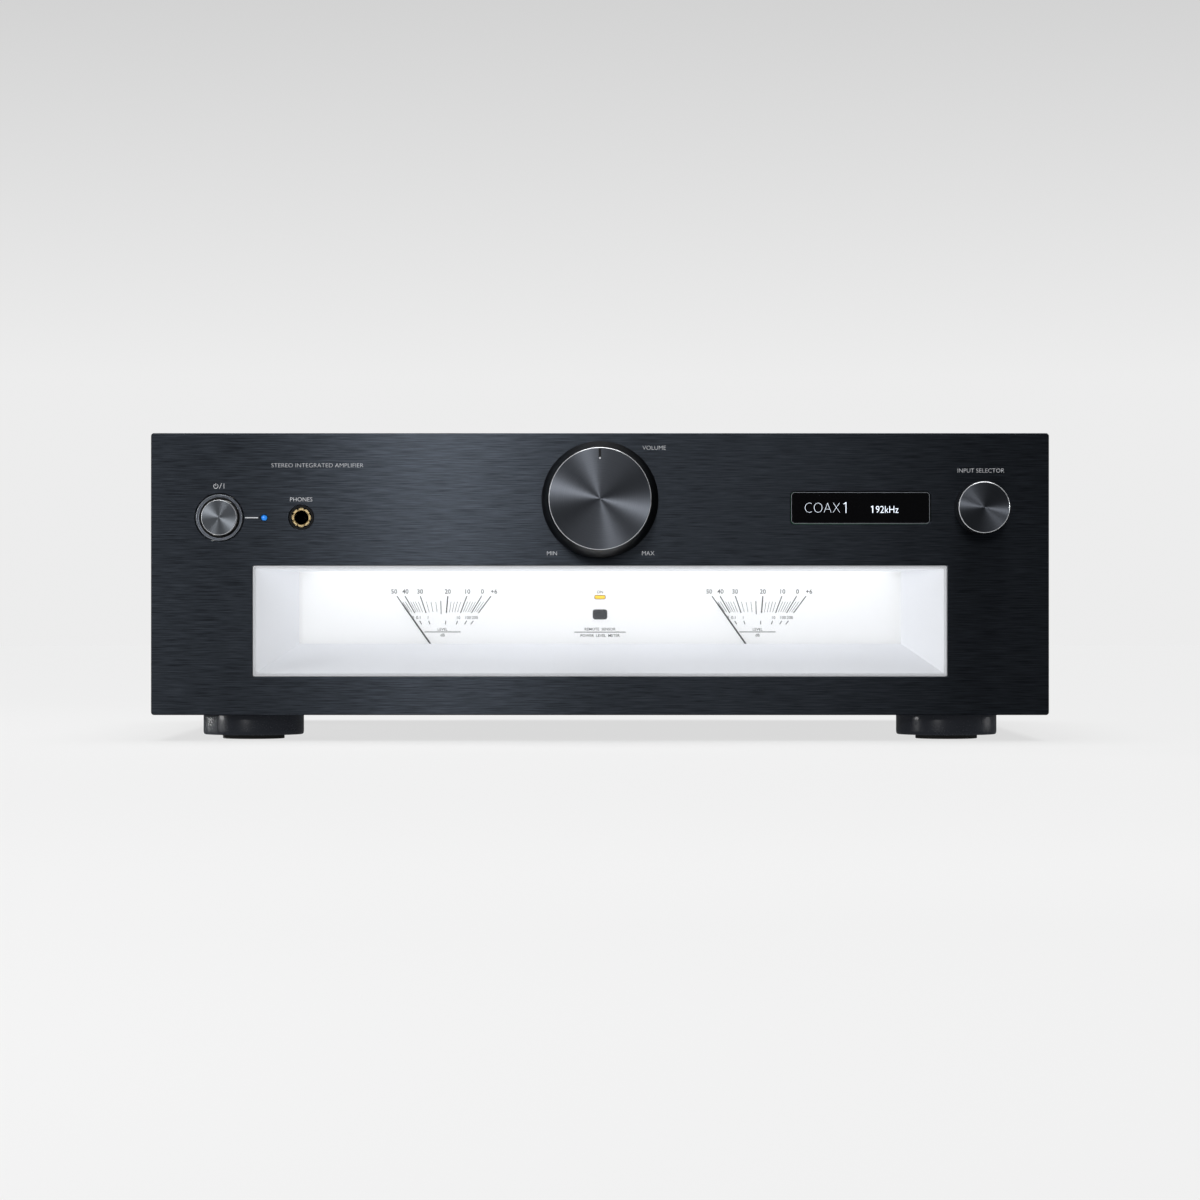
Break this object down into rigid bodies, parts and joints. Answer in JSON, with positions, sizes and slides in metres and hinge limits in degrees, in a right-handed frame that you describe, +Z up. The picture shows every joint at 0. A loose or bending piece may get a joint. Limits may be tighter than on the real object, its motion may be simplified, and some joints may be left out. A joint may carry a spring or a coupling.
{
  "type": "integrated amplifier",
  "caption": "Low wide case with a brushed panel, a lit meter recess with swinging needles, turning knobs, a sprung power button, a phones jack and rear connectors.",
  "frame": {"origin": "on the surface that it stands on, under the middle of its whole box", "axes": "+Z up, -Y out of the front panel, +X to the right as the listener sees it"},
  "size_m": [0.43, 0.428, 0.1472],
  "materials": {
    "black_aluminium": "black anodised, brushed from side to side",
    "spun_aluminium": "dark anodised, spun face with a bright turned edge",
    "satin_aluminium": "satin, turned",
    "knob_black": "black anodised, satin",
    "painted_steel": "fine textured black paint",
    "plated_steel": "zinc plated sheet",
    "shaft_steel": "ground",
    "white_plastic": "fine matt white moulding",
    "needle_black": "thin black pointer",
    "clear_window": "clear flat sheet",
    "black_glass": "polished black lens",
    "black_plastic": "moulded",
    "sensor_lens": "smoked, glossy",
    "yellow_lens": "lit diffuser",
    "blue_lens": "lit lens",
    "gold_plating": "gold plated, turned",
    "circuit_board": "glass fibre with solder mask",
    "rubber": "matt",
    "foot_plastic": "satin moulding",
    "transformer_wrap": "wound copper under clear tape over a steel core",
    "capacitor_sleeve": "shrunk sleeve",
    "sink_aluminium": "black anodised extrusion",
    "ribbon_cable": "flat grey cable",
    "spring_steel": "drawn wire"
  },
  "bodies": {
    "chassis": {"front_panel": "black_aluminium", "front_subframe": "plated_steel", "meter_surround": "white_plastic", "meter_window": "clear_window", "scale_plate": "white_plastic", "meter_lamp_bar": "white_plastic", "left_meter_movement": "black_plastic", "right_meter_movement": "black_plastic", "remote_sensor": "sensor_lens", "status_indicator": "yellow_lens", "display_window": "black_glass", "display_module": "black_plastic", "volume_control": "plated_steel", "input_encoder": "plated_steel", "power_button_ring": "satin_aluminium", "power_button_spring": "spring_steel", "power_switch": "black_plastic", "standby_lamp": "blue_lens", "phones_jack": "black_plastic", "phones_jack_collar": "gold_plating", "front_board": "circuit_board", "top_cover": "painted_steel", "chassis_base": "plated_steel", "rear_panel": "painted_steel", "foot_front_left": "foot_plastic", "foot_pad_front_left": "rubber", "foot_front_right": "foot_plastic", "foot_pad_front_right": "rubber", "foot_rear_left": "foot_plastic", "foot_pad_rear_left": "rubber", "foot_rear_right": "foot_plastic", "foot_pad_rear_right": "rubber", "toroidal_transformer": "transformer_wrap", "transformer_clamp": "plated_steel", "power_supply_board": "circuit_board", "reservoir_capacitor_left": "capacitor_sleeve", "reservoir_capacitor_right": "capacitor_sleeve", "heat_sink": "sink_aluminium", "amplifier_board": "circuit_board", "input_board": "circuit_board", "ribbon_cable": "ribbon_cable", "analog_input_jacks": "black_plastic", "digital_input_block": "black_plastic", "usb_socket": "plated_steel", "speaker_terminal_board": "black_plastic", "mains_inlet": "black_plastic"},
    "volume_rotor": {"volume_knob": "knob_black", "volume_knob_cap": "spun_aluminium", "volume_shaft": "shaft_steel"},
    "input_rotor": {"input_knob": "knob_black", "input_knob_cap": "spun_aluminium", "input_shaft": "shaft_steel"},
    "power_button": {"power_button": "spun_aluminium"},
    "left_needle": {"left_needle": "needle_black"},
    "right_needle": {"right_needle": "needle_black"},
    "optical_shutter": {"optical_shutter": "black_plastic"},
    "speaker_post_cap_1": {"speaker_post_cap_1": "black_plastic"},
    "speaker_post_cap_2": {"speaker_post_cap_2": "black_plastic"},
    "speaker_post_cap_3": {"speaker_post_cap_3": "black_plastic"},
    "speaker_post_cap_4": {"speaker_post_cap_4": "black_plastic"}
  },
  "joints": [
    {"name": "volume_turn", "type": "hinge", "parent": "chassis", "child": "volume_rotor", "pos_m": [0, -0.19, 0.1154], "axis": [0, 1, 0], "range_deg": [-150, 150]},
    {"name": "input_turn", "type": "hinge", "parent": "chassis", "child": "input_rotor", "pos_m": [0.1823, -0.19, 0.1113], "axis": [0, 1, 0], "continuous": true},
    {"name": "power_press", "type": "slide", "parent": "chassis", "child": "power_button", "axis": [0, 1, 0], "range_m": [0, 0.002], "stiffness_N_per_m": 400, "deforming": ["power_button_spring"]},
    {"name": "left_needle_swing", "type": "hinge", "parent": "chassis", "child": "left_needle", "pos_m": [-0.0765, -0.1597, 0.0377], "axis": [0, 1, 0], "range_deg": [0, 71], "stiffness_Nm_per_rad": 0.0002},
    {"name": "right_needle_swing", "type": "hinge", "parent": "chassis", "child": "right_needle", "pos_m": [0.0765, -0.1597, 0.0377], "axis": [0, 1, 0], "range_deg": [0, 71], "stiffness_Nm_per_rad": 0.0002},
    {"name": "speaker_post_turn_1", "type": "hinge", "parent": "chassis", "child": "speaker_post_cap_1", "pos_m": [-0.057, 0.2, 0.05], "axis": [0, 1, 0], "range_deg": [0, 720]},
    {"name": "speaker_post_turn_2", "type": "hinge", "parent": "chassis", "child": "speaker_post_cap_2", "pos_m": [-0.019, 0.2, 0.05], "axis": [0, 1, 0], "range_deg": [0, 720]},
    {"name": "speaker_post_turn_3", "type": "hinge", "parent": "chassis", "child": "speaker_post_cap_3", "pos_m": [0.019, 0.2, 0.05], "axis": [0, 1, 0], "range_deg": [0, 720]},
    {"name": "speaker_post_turn_4", "type": "hinge", "parent": "chassis", "child": "speaker_post_cap_4", "pos_m": [0.057, 0.2, 0.05], "axis": [0, 1, 0], "range_deg": [0, 720]},
    {"name": "optical_shutter_swing", "type": "hinge", "parent": "chassis", "child": "optical_shutter", "pos_m": [0.061, 0.1919, 0.1237], "axis": [-1, 0, 0], "range_deg": [0, 80], "stiffness_Nm_per_rad": 0.0001}
  ]
}
